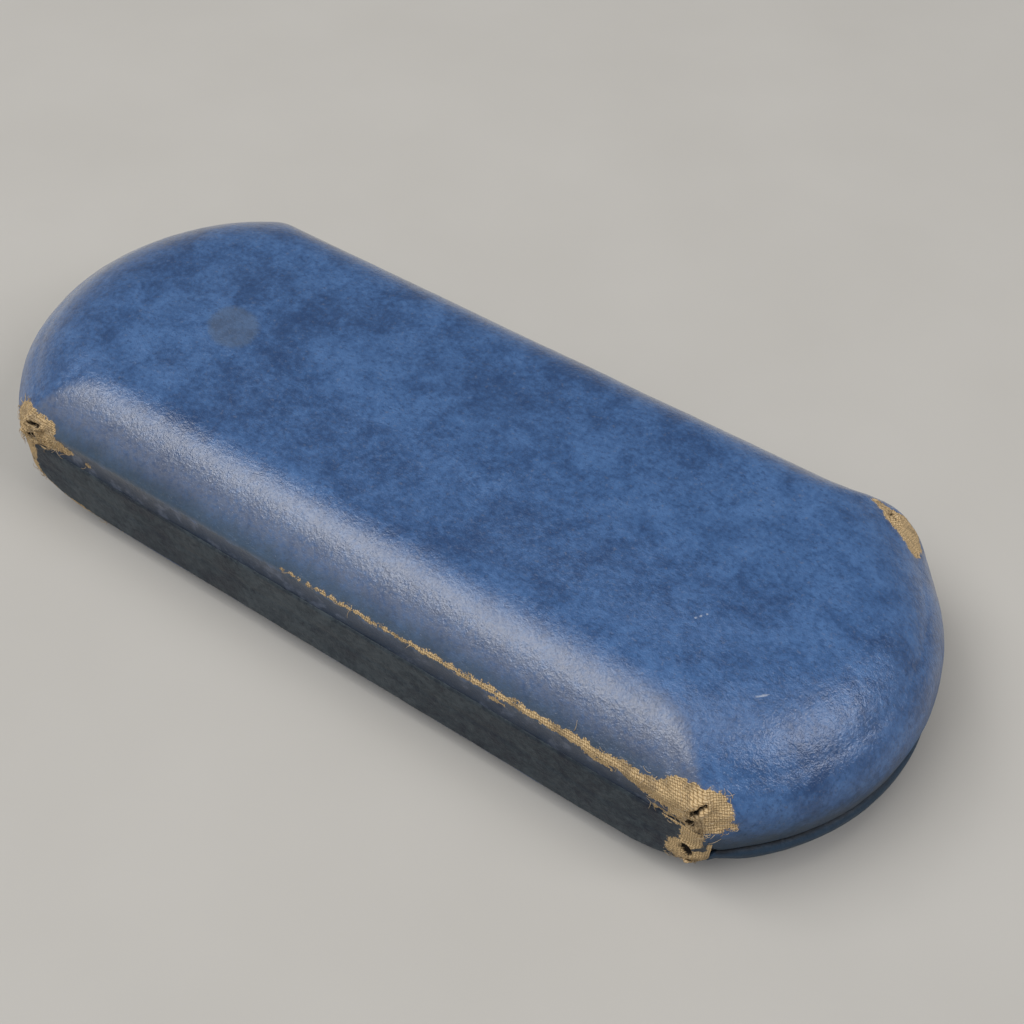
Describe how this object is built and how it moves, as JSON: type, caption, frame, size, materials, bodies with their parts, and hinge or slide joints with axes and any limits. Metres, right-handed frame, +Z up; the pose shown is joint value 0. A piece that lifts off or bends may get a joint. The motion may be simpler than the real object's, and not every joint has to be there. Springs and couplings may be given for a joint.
{
  "type": "eyeglasses case",
  "caption": "Hard clam-shell eyeglasses case with rounded ends: two covered steel pans, velvet linings and a full-length hinge along the back that snaps shut.",
  "frame": {"origin": "middle of the underside of the closed case, on the surface it stands on", "axes": "+X along the case, +Y towards the hinge at the back, -Y towards the opening edge, +Z up out of the lid"},
  "size_m": [0.16, 0.0636, 0.0269],
  "materials": {
    "blue_leatherette": "coated cloth with a fine pebbled grain, mottled mid blue, satin, worn to tan cloth at the corners",
    "spine_leatherette": "coated cloth strip, dark navy, satin, rubbed along its edge",
    "pressed_steel": "plain pressed sheet, dull",
    "liner_board": "grey-brown board",
    "wadding": "cotton wadding",
    "velvet_lining": "short-pile velvet, dark blue",
    "velvet_ribbon": "short-pile velvet ribbon, dark blue",
    "hinge_steel": "plain sheet steel, rolled knuckles",
    "rivet_steel": "flat-headed tubular steel",
    "pin_wire": "drawn steel wire",
    "spring_steel": "blued spring steel"
  },
  "bodies": {
    "base": {"base_cover": "blue_leatherette", "base_shell": "pressed_steel", "base_liner_board": "liner_board", "base_wadding": "wadding", "base_lining": "velvet_lining", "base_hinge_leaf": "hinge_steel", "base_leaf_rivets": "rivet_steel", "hinge_pin": "pin_wire", "spine_cover": "spine_leatherette", "hinge_ribbon": "velvet_ribbon", "snap_spring_left": "spring_steel", "snap_spring_right": "spring_steel"},
    "lid": {"lid_cover": "blue_leatherette", "lid_shell": "pressed_steel", "lid_liner_board": "liner_board", "lid_wadding": "wadding", "lid_lining": "velvet_lining", "lid_hinge_leaf": "hinge_steel", "lid_leaf_rivets": "rivet_steel"}
  },
  "joints": [
    {"name": "lid_hinge", "type": "hinge", "parent": "base", "child": "lid", "pos_m": [0, 0.03005, 0.00975], "axis": [-1, 0, 0], "range_deg": [0, 100], "deforming": ["spine_cover", "hinge_ribbon", "snap_spring_left", "snap_spring_right"]}
  ]
}
